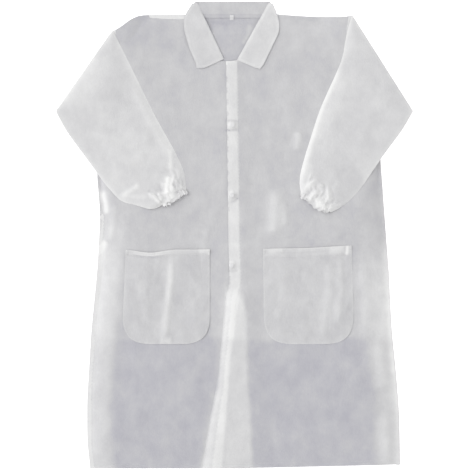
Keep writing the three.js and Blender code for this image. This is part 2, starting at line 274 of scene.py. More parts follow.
nonwoven = makeNonwoven("nonwoven", nonwovenLook["plies"], 0.55)
elasticCloth = makeNonwoven("elasticCloth", [(0.0, (0.8, 0.8, 0.8)), (1.0, (0.9, 0.9, 0.9))], 0.8)
labelCloth = makeNonwoven("labelCloth", [(0.0, (0.70, 0.70, 0.71)), (1.0, (0.84, 0.84, 0.84))], 0.3)
snapPlastic = makePlastic()
thread = makeThread()
print("materials ready")

# plan geometry: outlines come from the flat nodes of the frame


def planOutline(*names):
    edges = {}
    for name in names:
        mesh = nodes[name].data
        mesh.calc_loop_triangles()
        points = np.array([v.co for v in mesh.vertices])
        keys = np.round(points[:, :2] * 1e5).astype(int)
        top = points[:, 2].max() - 1e-5
        for triangle in mesh.loop_triangles:
            corners = list(triangle.vertices)
            if min(points[c][2] for c in corners) < top:
                continue
            for a, b in ((0, 1), (1, 2), (2, 0)):
                start, end = tuple(keys[corners[a]]), tuple(keys[corners[b]])
                if (end, start) in edges:
                    del edges[(end, start)]
                else:
                    edges[(start, end)] = True
    after = dict(edges.keys())
    loops = []
    while after:
        start = next(iter(after))
        loop, here = [], start
        while here in after:
            loop.append(here)
            here = after.pop(here)
        loops.append(np.array(loop) * 1e-5)
    return max(loops, key=lambda loop: abs(areaOf(loop)))


def areaOf(loop):
    x, y = loop[:, 0], loop[:, 1]
    return 0.5 * np.sum(x * np.roll(y, -1) - y * np.roll(x, -1))


def dense(outline, spacing):
    return openDense(np.vstack([outline, outline[:1]]), spacing)[:-1]


def eased(outline, spacing, reach=0.025, sharp=0.7):  # soft bends, with the sharp corners kept
    before, after = np.roll(outline, 1, axis=0), np.roll(outline, -1, axis=0)
    inWay, outWay = outline - before, after - outline
    cross = inWay[:, 0] * outWay[:, 1] - inWay[:, 1] * outWay[:, 0]
    turn = np.arctan2(cross, (inWay * outWay).sum(1))
    corners = outline[np.abs(turn) > sharp]
    points = dense(outline, spacing)
    held = np.zeros(len(points), bool)
    for corner in corners:
        held |= np.linalg.norm(points - corner, axis=1) < spacing * 0.3
    for _ in range(max(1, round((reach / spacing) ** 2))):
        middle = (np.roll(points, 1, axis=0) + np.roll(points, -1, axis=0)) / 2
        points = np.where(held[:, None], points, points * 0.5 + middle * 0.5)
    return points


def inset(loop, distance):  # a closed loop moved inwards
    before, after = np.roll(loop, 1, axis=0), np.roll(loop, -1, axis=0)
    way = after - before
    way /= np.linalg.norm(way, axis=1)[:, None]
    sign = 1 if areaOf(loop) > 0 else -1
    return loop + np.column_stack([-way[:, 1], way[:, 0]]) * distance * sign


def openDense(path, spacing):
    points = []
    for start, end in zip(path[:-1], path[1:]):
        steps = max(1, round(float(np.linalg.norm(end - start)) / spacing))
        points += [start + (end - start) * k / steps for k in range(steps)]
    return np.array(points + [path[-1]])


def insideOf(points, outline):
    inside = np.zeros(len(points), bool)
    x, y = points[:, 0], points[:, 1]
    for (ax, ay), (bx, by) in zip(outline, np.roll(outline, -1, axis=0)):
        if ay == by:
            continue
        crosses = (ay > y) != (by > y)
        inside ^= crosses & (x < (bx - ax) * (y - ay) / (by - ay) + ax)
    return inside


def nearPath(points, path):  # distance, side (left positive) and share of the way along
    path = np.asarray(path, float)
    lengths = np.linalg.norm(np.diff(path, axis=0), axis=1)
    total, run = max(lengths.sum(), 1e-9), 0.0
    best = np.full(len(points), 1e9)
    side, share = np.zeros(len(points)), np.zeros(len(points))
    for start, end, length in zip(path[:-1], path[1:], lengths):
        if length < 1e-9:
            continue
        way = end - start
        offset = points - start
        t = np.clip(offset @ way / length**2, 0, 1)
        away = offset - t[:, None] * way
        distance = np.hypot(away[:, 0], away[:, 1])
        closer = distance < best
        best = np.where(closer, distance, best)
        side = np.where(closer, np.sign(way[0] * away[:, 1] - way[1] * away[:, 0]), side)
        share = np.where(closer, (run + t * length) / total, share)
        run += length
    return best, side, share


def nearLoop(points, loop):
    return nearPath(points, np.vstack([loop, loop[:1]]))[0]


def smooth(t):
    t = np.clip(t, 0, 1)
    return t * t * (3 - 2 * t)


def fold(points, path, height, left, right, crest=0.0, fade=0.12):
    # a crease or a soft ridge along a path in millimetres, with its own width on each side
    distance, side, share = nearPath(points, np.array(path) * mm)
    width = np.where(side > 0, left, right) * mm
    shape = np.exp(-(np.sqrt(distance**2 + (crest * mm) ** 2) / width) ** (1 if crest else 2))
    ends = smooth(share / fade) * smooth((1 - share) / fade) if fade else 1
    return height * mm * shape * ends


def crinkle(points, seed, count, length, width, height, heading, spread):  # small creases, heading in degrees
    rng = np.random.default_rng(seed)
    low, high = points.min(0), points.max(0)
    relief = np.zeros(len(points))
    for _ in range(count):
        centre = rng.uniform(low, high)
        angle = math.radians(rng.normal(heading, spread))
        half = rng.uniform(*length) * mm / 2
        across = rng.uniform(*width) * mm
        tall = rng.uniform(*height) * mm * rng.choice([-1, 1])
        bend = rng.normal(0, 0.12) / half
        way = np.array([math.cos(angle), math.sin(angle)])
        offset = points - centre
        along = offset @ way
        aside = offset[:, 0] * -way[1] + offset[:, 1] * way[0] + bend * along**2
        fade = np.clip(1 - (along / half) ** 2, 0, 1) ** 2
        relief += tall * fade * np.exp(-np.sqrt(aside**2 + (0.3 * across) ** 2) / across)
    return relief


def swell(points, seed, count, wave, height):  # broad undulation
    rng = np.random.default_rng(seed)
    relief = np.zeros(len(points))
    for _ in range(count):
        angle, phase = rng.uniform(0, math.pi), rng.uniform(0, 2 * math.pi)
        turns = 2 * math.pi / (rng.uniform(*wave) * mm)
        along = points[:, 0] * math.cos(angle) + points[:, 1] * math.sin(angle)
        relief += np.sin(along * turns + phase)
    return relief * height * mm / math.sqrt(count)


# sheets

leastWidth = 0.0101  # the narrowest strip width; declare() takes it as the least width of a strip
clothMake = {"spacing": 0.0046, "thickness": 0.0005, "merge": 2e-5, "sharpFrom": 60}


def triangulated(outline, spacing, fine=()):  # fine: (middle, reach, spacing) of closer patches
    spots = lattice(outline, spacing)
    for middle, reach, close in fine:
        around = np.linalg.norm(spots - middle, axis=1) > reach + close / 2
        low, high = np.maximum(outline.min(0), middle - reach), np.minimum(outline.max(0), middle + reach)
        near = lattice(outline, close, low, high)
        spots = np.vstack([spots[around], near[np.linalg.norm(near - middle, axis=1) <= reach]])
    return filled(outline, spots)


def lattice(outline, spacing, low=None, high=None):
    low, high = (outline.min(0), outline.max(0)) if low is None else (low, high)
    rows = np.arange(low[1] + spacing * 0.5, high[1], spacing * 0.866)
    spots = [
        (x, y)
        for i, y in enumerate(rows)
        for x in np.arange(low[0] + spacing * (0.25 + 0.5 * (i % 2)), high[0], spacing)
    ]
    spots = np.array(spots).reshape(-1, 2)
    spots = spots[insideOf(spots, outline)]
    return spots[nearLoop(spots, outline) > spacing * 0.55]


def filled(outline, spots):
    corners = [Vector(p) for p in outline] + [Vector(p) for p in spots]
    rim = [(i, (i + 1) % len(outline)) for i in range(len(outline))]
    points, _, faces, _, _, _ = geometry.delaunay_2d_cdt(corners, rim, [], 1, 1e-7)
    return np.array([tuple(p) for p in points]), [tuple(face) for face in faces]


def newPiece(name, vertices, edges, faces, plyAndLight=None):
    mesh = bpy.data.meshes.new(name)
    mesh.from_pydata(vertices, edges, faces)
    if plyAndLight is not None:
        mesh.attributes.new("plyAndLight", "FLOAT", "POINT").data.foreach_set("value", np.array(plyAndLight, np.float32))
    piece = bpy.data.objects.new(name, mesh)
    bpy.context.collection.objects.link(piece)
    return piece


def meshFrom(name, walls):  # walls: points, heights, faces, flipped, plies with painted light
    vertices, faces, plies = [], [], []
    for points, heights, wallFaces, flipped, plyAndLight in walls:
        start = len(vertices)
        vertices += [(p[0], p[1], z) for p, z in zip(points, heights)]
        plies += list(plyAndLight)
        faces += [tuple(start + i for i in (face[::-1] if flipped else face)) for face in wallFaces]
    return newPiece(name, vertices, [], faces, plies)


def finishSheet(piece, material, thickness, merge=True):
    if merge:
        work = bmesh.new()
        work.from_mesh(piece.data)
        bmesh.ops.remove_doubles(work, verts=work.verts, dist=clothMake["merge"])
        work.verts.index_update()
        seen, twins = set(), []  # faces that two walls share at a corner of the rim
        for face in work.faces:
            corners = frozenset(v.index for v in face.verts)
            if corners in seen:
                twins.append(face)
            seen.add(corners)
        bmesh.ops.delete(work, geom=twins, context="FACES_ONLY")
        work.to_mesh(piece.data)
        work.free()
    piece.data.materials.append(material)
    solid = piece.modifiers.new("thickness", "SOLIDIFY")
    solid.thickness = thickness
    solid.offset = 0.0
    keepResult(piece)
    piece.data.shade_smooth()
    # a sharp rim, folded or cut, keeps the cloth beside it from darkening
    piece.data.set_sharp_from_angle(angle=math.radians(clothMake["sharpFrom"]))
    return piece


def keepResult(piece):
    graph = bpy.context.evaluated_depsgraph_get()
    made = bpy.data.meshes.new_from_object(piece.evaluated_get(graph))
    piece.modifiers.clear()
    piece.data = made


def flatSheet(name, outline, heightOf, plyAndLightOf, material=nonwoven, spacing=None, thickness=None, fine=()):
    spacing = spacing or clothMake["spacing"]
    points, faces = triangulated(outline, spacing, fine)
    piece = meshFrom(name, [(points, heightOf(points), faces, False, plyAndLightOf(points))])
    return finishSheet(piece, material, thickness or clothMake["thickness"])


def level(value):  # the same height or ply all over a sheet
    return lambda points: np.full(len(points), value)


def mount(piece, bodyName, *replaced):
    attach(piece, bodyName)
    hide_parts(*replaced)


def declare(outline, sheets=1.0):
    low, high = outline.min(0), outline.max(0)
    area = abs(areaOf(outline)) * sheets
    width, length = sorted(high - low)
    length *= sheets
    if area < 0.4 * width * length:  # a slanted strip
        width = 1.1 * area / length
    max(width, leastWidth)


def jointLine(child):  # a point on a joint's line and the way across that line, in plan
    joint = next(j for j in frame["joints"] if j["child"] == child)
    way = joint["axis"]
    return np.array(joint["pos_m"][:2]), np.array([-way[1], way[0]])


def awayFromJoint(points, child):
    spot, across = jointLine(child)
    return np.abs((points - spot) @ across)


# the body of the coat

body = {
    "seamHeight": 1.3,
    "tipHeight": 10.0,
    "rise": 10.4,
    "falloff": 40.0,
    "underSleeve": 11.0,
    "hemDrop": 0.5,  # the share of the rise that is left at the hem
    "hemReach": 100.0,
}
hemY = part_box("back_panel")[0].y
seamNames = ("right_side_seam", "left_side_seam", "right_shoulder_seam", "left_shoulder_seam")
seamLoops = {name: planOutline(name) for name in seamNames}
flapPoint, flapOut = jointLine("left_front_flap")  # flapOut points across the flap to its free edge
snapCentres = []
for number in (1, 2, 3):
    low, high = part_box(f"snap_{number}_cap")
    snapCentres.append(np.array([(low.x + high.x) / 2, (low.y + high.y) / 2]))
pocketLoops = {side: planOutline(f"{side}_pocket") for side in sides}
sleeveLoops = {side: planOutline(f"{side}_sleeve") for side in sides}
headLoops = {side: planOutline(f"{side}_sleeve_head") for side in sides}
sleeveTips = [loop[np.argmax(loop[:, 1])] for loop in headLoops.values()]
flapLoop = planOutline("left_front_flap")
flapEdge = np.array([p for p in flapLoop if (p - flapPoint) @ flapOut > 0.004])
flapEdge = flapEdge[np.argsort(-flapEdge[:, 1])]


def seamDistance(points, names=seamNames):
    distance = np.full(len(points), 1.0)
    for name in names:
        near = nearLoop(points, seamLoops[name])
        distance = np.minimum(distance, np.where(insideOf(points, seamLoops[name]), 0, near))
    return distance


def underSleeves(points, reach):  # 1 below a sleeve, fading to 0 a little way off
    under = np.zeros(len(points))
    for side in sides:
        near = np.where(insideOf(points, sleeveLoops[side]), 0, nearLoop(points, sleeveLoops[side]))
        under = np.maximum(under, smooth(1 - near / reach))
    return under


def frontBase(points):
    d = seamDistance(points)
    under = underSleeves(points, 0.09)
    falloff = (body["falloff"] + (body["underSleeve"] - body["falloff"]) * under) * mm
    rise = body["rise"] * mm * (1 - np.exp(-d / falloff))
    for tip in sleeveTips:
        near = np.exp(-(np.linalg.norm(points - tip, axis=1) / 0.060) ** 4)
        rise = np.maximum(rise, body["tipHeight"] * mm * near)
    hem = body["hemDrop"] + (1 - body["hemDrop"]) * smooth((points[:, 1] - hemY) / (body["hemReach"] * mm))
    return body["seamHeight"] * mm + rise * hem


frontFolds = [
    # path, height, width to its left, width to its right, crest, painted highlight along it (below zero,
    # painted shade)
    ([(98, 112), (99, 60), (90, -4)], 3.0, 14, 15, 0, 0.32),
    ([(116, 74), (122, 20)], 1.4, 7, 9, 0, 0.10),
    ([(152, 244), (149, 196)], 2.0, 8, 9, 0, 0.22),
    ([(140, 130), (150, 90)], 1.2, 10, 10, 0, 0.08),
    ([(-40, -22), (20, -24), (70, -18)], 1.1, 5, 6, 2, 0.05),
    ([(60, -6), (130, -4), (200, -12), (262, -14)], 1.3, 7, 6, 2, 0.0),
    ([(-312, 108), (-303, 70), (-300, 44)], 3.2, 6, 8, 2, 0.55),
    ([(-316, 40), (-318, 10), (-324, -8)], 2.2, 6, 8, 2, 0.35),
    ([(-300, -12), (-312, -30), (-326, -52)], 3.0, 7, 9, 2, 0.45),
    ([(-280, 74), (-284, 30), (-292, -20)], 1.4, 7, 10, 0, 0.18),
    ([(-288, -60), (-304, -240), (-304, -420), (-310, -545)], 2.2, 34, 22, 0, 0.0),
    ([(300, -60), (318, -180), (322, -330)], 1.6, 16, 16, 0, 0.10),
    ([(338, -236), (346, -300), (348, -372)], 2.6, 12, 16, 0, 0.22),
    ([(352, -420), (358, -470), (356, -540)], 2.2, 14, 18, 0, 0.14),
    ([(372, -270), (376, -330)], 1.4, 8, 8, 0, 0.18),
    ([(235, 500), (180, 470), (120, 430)], 0.9, 9, 8, 3, 0.04),
    ([(300, -30), (312, -150), (304, -260)], 1.4, 12, 12, 0, 0.08),
    ([(-8, 258), (24, 250), (60, 256)], 0.8, 4, 5, 2, 0.03),
    ([(-8, 258), (-46, 262), (-80, 256)], 0.7, 4, 5, 2, 0.03),
    ([(-6, 92), (-34, 70), (-60, 44)], 0.8, 5, 5, 2, 0.05),
    ([(-2, 96), (30, 116), (52, 140)], 0.8, 5, 5, 2, 0.04),
    ([(-24, 268), (-8, 268), (14, 267)], -1.3, 2.4, 2.4, 1, -0.30),
    ([(-24, 246), (-8, 245), (14, 247)], -1.3, 2.4, 2.4, 1, -0.30),
    ([(-16, 257), (-6, 260), (2, 256)], 0.9, 2.5, 2.5, 1, 0.16),
    ([(-12, 99), (-5, 101), (-1, 96), (-6, 90)], 0.9, 2.5, 2.5, 1, 0.28),
    ([(-10, 74), (2, 80), (12, 90)], -1.2, 2.6, 2.6, 1, -0.28),
    ([(-13, -66), (-4, -64), (2, -70)], 0.8, 2.5, 2.5, 1, 0.22),
    ([(-16, -84), (-2, -86), (10, -82)], -1.0, 2.6, 2.6, 1, -0.20),
    ([(392, -480), (388, -300), (372, -60)], 0.3, 14, 14, 0, 0.20),
    ([(-250, 300), (-200, 180), (-150, 60)], -1.0, 30, 30, 0, 0.0),
    ([(-210, 452), (-150, 440), (-120, 400)], 1.0, 16, 16, 0, 0.0),
    ([(-64, 20), (-70, -20), (-66, -60)], 0.8, 7, 8, 0, 0.04),
    ([(200, 60), (230, 20), (250, -10)], 1.2, 14, 14, 0, 0.07),
    ([(120, 330), (132, 280), (128, 230)], 0.9, 10, 12, 0, 0.05),
]


def foldRelief(points, folds):
    return sum(fold(points, path, *shape) for path, *shape, _ in folds)


# painted highlight on the ridges of the folds, painted shade where the value is below zero
def paintedFoldLight(points, folds):
    return sum(paintedLight * fold(points, path, 1 / mm, left * 1.25, right * 1.25, 0, 0.2)
               for path, _, left, right, _, paintedLight in folds if paintedLight)


def frontRelief(points):
    relief = swell(points, seed=11, count=7, wave=(110, 260), height=0.55)
    relief += crinkle(points, seed=21, count=110, length=(60, 240), width=(5, 13), height=(0.15, 0.75),
                      heading=84, spread=26)
    relief += crinkle(points, seed=22, count=150, length=(20, 80), width=(3, 7), height=(0.10, 0.42),
                      heading=40, spread=60)
    relief += foldRelief(points, frontFolds)
    relief *= 1 - 0.75 * underSleeves(points, 0.03)
    return relief * (0.3 + 0.7 * smooth(seamDistance(points) / 0.016))


def flapReach(points):  # distance past the flap's hinge line, towards its free edge
    return (points - flapPoint) @ flapOut


def snapBump(points, height, width):
    return sum(height * mm * np.exp(-(np.linalg.norm(points - c, axis=1) / (width * mm)) ** 2)
               for c in snapCentres)


def rightFrontHeight(points):
    return frontBase(points) + frontRelief(points) - 0.0006 * (1 - underSleeves(points, 0.03))


flapShape = {"lift": 2.3, "snapRise": 4.0, "snapWidth": 9, "snapTone": 7, "foldRise": 3.6, "softBelow": -112}
flapLayer = [(14, -120), (20, -150), (28, -200), (30, -342), (37, -422), (42, -552)]
flapCore = [(-4, -130), (-9, -180), (-16, -248), (-22, -295), (-27, -359), (-39, -439), (-54, -552)]
flapHalf = [18, 13, 13, 11, 12, 18, 24]  # half the width of the bright fold at each of those points


def belowSnaps(points):  # 0 where the snaps hold the placket flat, 1 where it hangs free
    return smooth((flapShape["softBelow"] * mm - points[:, 1]) / 0.050)


def leftFrontHeight(points):
    z = frontBase(points) + frontRelief(points)
    reach = flapReach(points)
    free = belowSnaps(points)
    fromEdge = nearPath(points, flapEdge)[0]
    lift = smooth((reach + 0.018) / 0.045) * (1 - (0.4 + free * 0.4) * np.exp(-(fromEdge / 0.008)))
    z = z + flapShape["lift"] * mm * lift
    z = z + snapBump(points, flapShape["snapRise"], flapShape["snapWidth"]) * (reach > 0)
    hanging = fold(points, flapCore, flapShape["foldRise"], 40, 17, 0, 0.0)
    return z + hanging * free * (1 - np.exp(-fromEdge / 0.010))


toneOfPliesAndLight = {
    "front": 0.12,
    "doubled": 0.18,  # above the line where the cloth looks doubled
    "doubledEnd": -0.255,
    # the side bands are painted highlight where the cloth turns over; the seam bands are seam plies with
    # painted light against the slope's shade; the shoulder value is painted shade
    "rightSideLight": 0.27,
    "rightSeam": 0.16,
    "leftSideLight": 0.30,
    "leftSeam": 0.25,
    "rightShoulder": -0.10,
    "placketFoldLight": 0.48,
    "placketLayer": 0.43,
    "placketStrip": 0.42,
    # painted shade round each snap
    "snapShade": -0.06,
    "neckEdge": 0.5,
    "besideFlap": 0.13,
}


def layerAndLightTone(points):  # how white the stack of plies looks from above, with painted highlight and painted shade laid over it
    x, y = points[:, 0], points[:, 1]
    wavyEnd = toneOfPliesAndLight["doubledEnd"] - 0.004 * np.sin(x * 21)
    tone = toneOfPliesAndLight["front"] + toneOfPliesAndLight["doubled"] * smooth((y - wavyEnd) / 0.020)
    right = seamDistance(points, ("right_side_seam",))
    left = seamDistance(points, ("left_side_seam",))
    # painted highlight along both sides, seam plies and painted light by the seams, painted shade at the
    # right shoulder
    tone += toneOfPliesAndLight["rightSideLight"] * smooth((0.060 - right) / 0.026) * smooth((0.06 - y) / 0.10)
    tone += toneOfPliesAndLight["rightSeam"] * np.exp(-right / 0.010) * smooth((0.02 - y) / 0.10)
    tone += toneOfPliesAndLight["leftSideLight"] * smooth((0.062 - left) / 0.040) * smooth((0.02 - y) / 0.16)
    tone += toneOfPliesAndLight["leftSeam"] * np.exp(-left / 0.012) * smooth((0.0 - y) / 0.05)
    tone += toneOfPliesAndLight["rightShoulder"] * smooth((y - 0.425) / 0.03) * smooth((-0.12 - x) / 0.10)
    return tone + paintedFoldLight(points, frontFolds) + placketFoldLightAndPlies(points)


def placketFoldLightAndPlies(points):  # painted highlight along the fold where the placket hangs free, and the plies of its facing beside it
    x, y = points[:, 0] / mm, points[:, 1] / mm
    middles, heights = np.array(flapCore[::-1]).T
    middle, half = np.interp(y, heights, middles), np.interp(y, heights, flapHalf[::-1])
    bright = toneOfPliesAndLight["placketFoldLight"] * smooth(0.5 + (half - np.abs(x - middle)) / 8)
    edges, heights = np.array(flapLayer[::-1]).T
    layerEdge = np.interp(y, heights, edges)
    second = toneOfPliesAndLight["placketLayer"] * smooth(0.5 + (layerEdge - x) / 15) * smooth(0.5 + (x - middle) / 6)
    return belowSnaps(points) * (bright + np.clip(second - 0.3 * bright, 0, None))


def leftFrontPlyAndLight(points):
    tone = layerAndLightTone(points)
    onFlap = insideOf(points, flapLoop)
    strip = smooth((0.028 - nearPath(points, flapEdge)[0]) / 0.004) * onFlap
    byNeck = (points[:, 1] > 0.40) * (np.abs(points[:, 0] + 0.01) < 0.03)
    neckEdge = np.exp(-nearLoop(points, leftLoop) / 0.0022) * byNeck
    tone += toneOfPliesAndLight["placketStrip"] * strip * (1 - belowSnaps(points))
    # painted shade round each snap
    tone += toneOfPliesAndLight["snapShade"] * strip * snapBump(points, 1 / mm, flapShape["snapTone"])
    return tone + toneOfPliesAndLight["neckEdge"] * neckEdge


def rightFrontPlyAndLight(points):  # its own placket's extra ply shows a little beside the flap, painted lighter over the flap's cast shadow
    beside = np.exp(-(nearPath(points, flapEdge)[0] / 0.013) ** 2) * smooth((-0.02 - points[:, 1]) / 0.06)
    return layerAndLightTone(points) + toneOfPliesAndLight["besideFlap"] * beside


backLoop = inset(eased(planOutline("back_panel"), 0.008), 0.0008)


backFolds = [  # as frontFolds, below the open neck
    ([(42, 492), (20, 446)], 0.6, 3, 3, 1, 0.20),
    ([(52, 484), (32, 440)], 0.6, 3, 3, 1, 0.20),
]
backTones = [  # path, widths to its left and right, painted highlight along it (below zero, painted shade)
    ([(42, 492), (20, 446)], (4, 4), 0.20),
    ([(52, 484), (32, 440)], (4, 4), 0.20),
    ([(36, 496), (28, 478)], (4, 4), 0.20),
    # painted shade along the top of the neck opening
    ([(-60, 500), (-20, 497), (0, 505)], (6, 5), -0.10),
]


def backHeight(points):
    z = 0.0004 + 0.00015 * (1 + np.sin(points[:, 0] * 60) * np.cos(points[:, 1] * 50))
    fromNeck = np.linalg.norm((points - (-0.006, 0.455)) / (0.085, 0.075), axis=1)
    inNeck = smooth((1.5 - fromNeck) / 0.6) * smooth((0.503 - points[:, 1]) / 0.034)
    folds = crinkle(points, seed=12, count=24, length=(30, 90), width=(4, 9), height=(0.05, 0.30),
                    heading=60, spread=60)
    folds += foldRelief(points, backFolds)
    for tip in sleeveTips:  # the back lifts with the front where the sleeve is folded over
        inNeck = np.maximum(inNeck, np.exp(-(np.linalg.norm(points - tip, axis=1) / 0.045) ** 4))
    return z + (np.clip(frontBase(points) - 0.0018, 0, None) + folds) * inNeck


def backPlyAndLight(points):
    return 0.17 + sum(paintedLight * fold(points, path, 1 / mm, *widths) for path, widths, paintedLight in backTones)


openNeck = (np.array([-0.006, 0.47]), 0.08, 0.004)
back = flatSheet("back", backLoop, backHeight, backPlyAndLight, spacing=0.007, fine=[openNeck])
mount(back, "coat_body", "back_panel")
declare(backLoop)
print("back ready")

rightLoop = eased(planOutline("right_front_panel"), clothMake["spacing"])
rightFront = flatSheet("rightFront", rightLoop, rightFrontHeight, rightFrontPlyAndLight)
mount(rightFront, "coat_body", "right_front_panel")
declare(rightLoop)

leftLoop = eased(planOutline("left_front_panel", "left_front_flap"), clothMake["spacing"])
closer = [(centre, 0.024, 0.0019) for centre in snapCentres] + [(np.array([-0.004, 0.41]), 0.03, 0.002)]
leftFront = flatSheet("leftFront", leftLoop, leftFrontHeight, leftFrontPlyAndLight, fine=closer)
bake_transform(leftFront)
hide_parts("left_front_panel", "left_front_flap")
declare(leftLoop)
print("fronts ready")

for node, heightOf, bodyName, name in (
    ("left_placket_facing", leftFrontHeight, "left_front_flap", "leftFacing"),
    ("right_placket_facing", rightFrontHeight, "coat_body", "rightFacing"),
):
    strip = planOutline(node)
    strip[:, 1] = np.minimum(strip[:, 1], 0.400)  # it stops short of the turned collar
    loop = eased(strip, 0.006)
    piece = flatSheet(name, loop, lambda p, h=heightOf: h(p) - 0.0008, level(0.2), spacing=0.006)
    mount(piece, bodyName, node)
    declare(loop)

for node in seamNames + ("neck_seam_tape",):
    loop = inset(eased(planOutline(node), 0.005), -0.0013)
    height, tone = (0.0020, 0.22) if node == "neck_seam_tape" else (0.00095, 0.8)
    name = node.replace("_s", "S").replace("_", "") + "Cloth"
    piece = flatSheet(name, loop, level(height), level(tone), spacing=0.005)
    mount(piece, "coat_body", node)
    declare(loop)
print("facings and seams ready")

# pockets

pocketShape = {
    "edge": 0.45,
    "puff": 1.0,
    "hem": {"right": 12.0, "left": 20.0},
    "mouthRise": 1.2,
    "seed": {"right": 31, "left": 32},
    "sag": {"right": (6.5, 0.6), "left": (1.6, 1.0)},  # how deep the mouth hangs, over how much of its width
}
# as frontFolds: the last value is painted highlight, or painted shade below zero
pocketFolds = {
    "right": [
        ([(-146, -48), (-150, -120), (-158, -190), (-163, -250)], 2.2, 7, 9, 0, 0.34),
        ([(-205, -60), (-210, -200)], 0.7, 9, 9, 0, 0.0),
        ([(-176, -250), (-146, -251)], 0.8, 8, 6, 0, 0.30),
        ([(-84, -38), (-62, -36)], 0.5, 6, 6, 0, 0.22),
        ([(-60, -29), (-59, -50)], 0.8, 3, 3, 0, 0.5),
    ],
    "left": [
        ([(226, -60), (224, -130), (214, -200), (208, -245)], 1.3, 9, 10, 0, 0.10),
        ([(250, -50), (252, -130), (246, -210)], 1.2, 6, 9, 0, 0.12),
        ([(118, -70), (112, -200)], 0.8, 12, 12, 0, 0.05),
        ([(172, -80), (166, -170)], 0.7, 12, 14, 0, 0.03),
        ([(74, -39), (118, -38)], 0.5, 5, 5, 0, 0.16),
        ([(220, -38), (262, -33)], 0.6, 8, 8, 0, 0.22),
        ([(267, -24), (264, -50)], 0.8, 3, 3, 0, 0.6),
    ],
}


def mouthPath(side):
    loop = pocketLoops[side]
    high = loop[loop[:, 1] > loop[:, 1].max() - 0.02]
    order = np.argsort(high[:, 0])
    return high[order][[0, -1]]


def sagOf(side, share):
    depth, part = pocketShape["sag"][side]
    return depth * mm * np.sin(math.pi * np.clip(share / part, 0, 1)) ** 2


def pocketHeight(side):
    loop = pocketLoops[side]
    mouth = mouthPath(side)
    sewn = np.array([p for p in eased(loop, 0.006, 0.012) if nearPath(p[None], mouth)[0][0] > 0.004])
    turn = np.argmax(np.linalg.norm(np.diff(np.vstack([sewn, sewn[:1]]), axis=0), axis=1))
    sewn = np.roll(sewn, -(turn + 1), axis=0)

    def heightOf(points):
        away = nearPath(points, sewn)[0]
        lip, _, share = nearPath(points, mouth)
        z = frontBase(points) + frontRelief(points)
        z += pocketShape["edge"] * mm + pocketShape["puff"] * mm * (1 - np.exp(-away / 0.022))
        lip = lip - sagOf(side, share)
        z += pocketShape["mouthRise"] * mm * np.exp(-np.abs(lip) / 0.02) * 4 * share * (1 - share)
        z += 0.5 * mm * smooth((pocketShape["hem"][side] * mm - lip) / 0.0025)
        z += foldRelief(points, pocketFolds[side])
        wrinkles = crinkle(points, pocketShape["seed"][side], count=24, length=(30, 120), width=(4, 9),
                           height=(0.1, 0.4), heading=85, spread=25)
        return z + wrinkles * smooth(away / 0.015)

    return heightOf, sewn, mouth


def pocketPlyAndLight(side, sewn, mouth):
    def plyAndLightOf(points):
        lip, _, share = nearPath(points, mouth)
        lip = lip - sagOf(side, share)
        tone = 0.37 + paintedFoldLight(points, pocketFolds[side])
        tone += 0.10 * np.exp(-nearPath(points, sewn)[0] / 0.003)
        tone += 0.09 * smooth((pocketShape["hem"][side] * mm - lip) / 0.003)
        # where the mouth gapes: painted highlight on the lip, painted shade inside the open mouth
        gape = sagOf(side, share) / 0.0065  # 1 where the mouth hangs open most
        tone += (0.18 + 0.34 * gape) * np.exp(-((lip - 0.0015) / 0.0020) ** 2)
        tone += gape * 0.40 * np.exp(-((lip - 0.0065) / 0.0018) ** 2)
        return tone - gape * 0.25 * np.exp(-((lip - 0.011) / 0.0022) ** 2)

    return plyAndLightOf


def pocketOutline(side, mouth):
    loop = eased(pocketLoops[side], 0.0038, 0.009)
    lip, _, share = nearPath(loop, mouth)
    loop[:, 1] -= sagOf(side, share) * (lip < 0.004)
    return loop


pockets = {}
for side in sides:
    heightOf, sewn, mouth = pocketHeight(side)
    loop = pocketOutline(side, mouth)
    alongMouth = [mouth[0] + (mouth[1] - mouth[0]) * k / 12 - (0, 0.006) for k in range(13)]
    closer = [(spot, 0.013, 0.0018) for spot in alongMouth]
    plyAndLight = pocketPlyAndLight(side, sewn, mouth)
    piece = flatSheet(f"{side}Pocket", loop, heightOf, plyAndLight, spacing=0.0036, fine=closer)
    mount(piece, "coat_body", f"{side}_pocket")
    declare(loop)
    pockets[side] = (heightOf, sewn, mouth)
print("pockets ready")

# sleeves

sleeveShape = {
    "floor": 12.1,
    "clear": 0.3,
    "height": 3.0,
    "cuffHeight": 8.6,
    "rim": 20.0,
    "puckers": 40,
    "seeds": {"right": (41, 43, 46), "left": (42, 44, 47)},  # swell, crinkle, puckers
    "creases": {"right": -52, "left": 62},  # the way that most of the crinkles run, in degrees
}
headShape = {"armhole": 2.3, "crease": 11.5, "upper": 11.4, "lower": 0.7, "most": 11.6}
bulge = {  # the bloused cloth beyond the flat pattern: where, how far each way, how wide
    "right": [((-262, 80), (-3.5, -5.0), 26), ((-196, 64), (1, -7.5), 34), ((-140, 150), (4, 0), 40)],
    "left": [((230, 52), (0, -3.0), 26)],
}
lifted = {"right": ((-188, 66), 4.0), "left": ((217, 50), 3.0)}  # where the edge hangs clear of the coat
cuffEdge = {  # how far the gathered cloth reaches, as a share of the cuff's depth, across its width
    "right": [(0.0, 0.2), (0.0, 0.8), (0.1, 0.75), (0.18, 0.3), (0.27, 0.55), (0.4, 1.15), (0.5, 0.85),
              (0.58, 1.1), (0.7, 0.75), (0.77, 0.45), (0.85, 0.9), (0.92, 1.25), (0.98, 1.1), (1.0, 0.2)],
    "left": [(0.0, 0.2), (0.02, 0.75), (0.16, 0.6), (0.25, 0.45), (0.31, 0.7), (0.37, 1.05), (0.48, 1.0),
             (0.56, 1.45), (0.64, 1.1), (0.74, 1.4), (0.82, 0.7), (0.88, 0.6), (0.96, 0.9), (1.0, 0.2)],
}
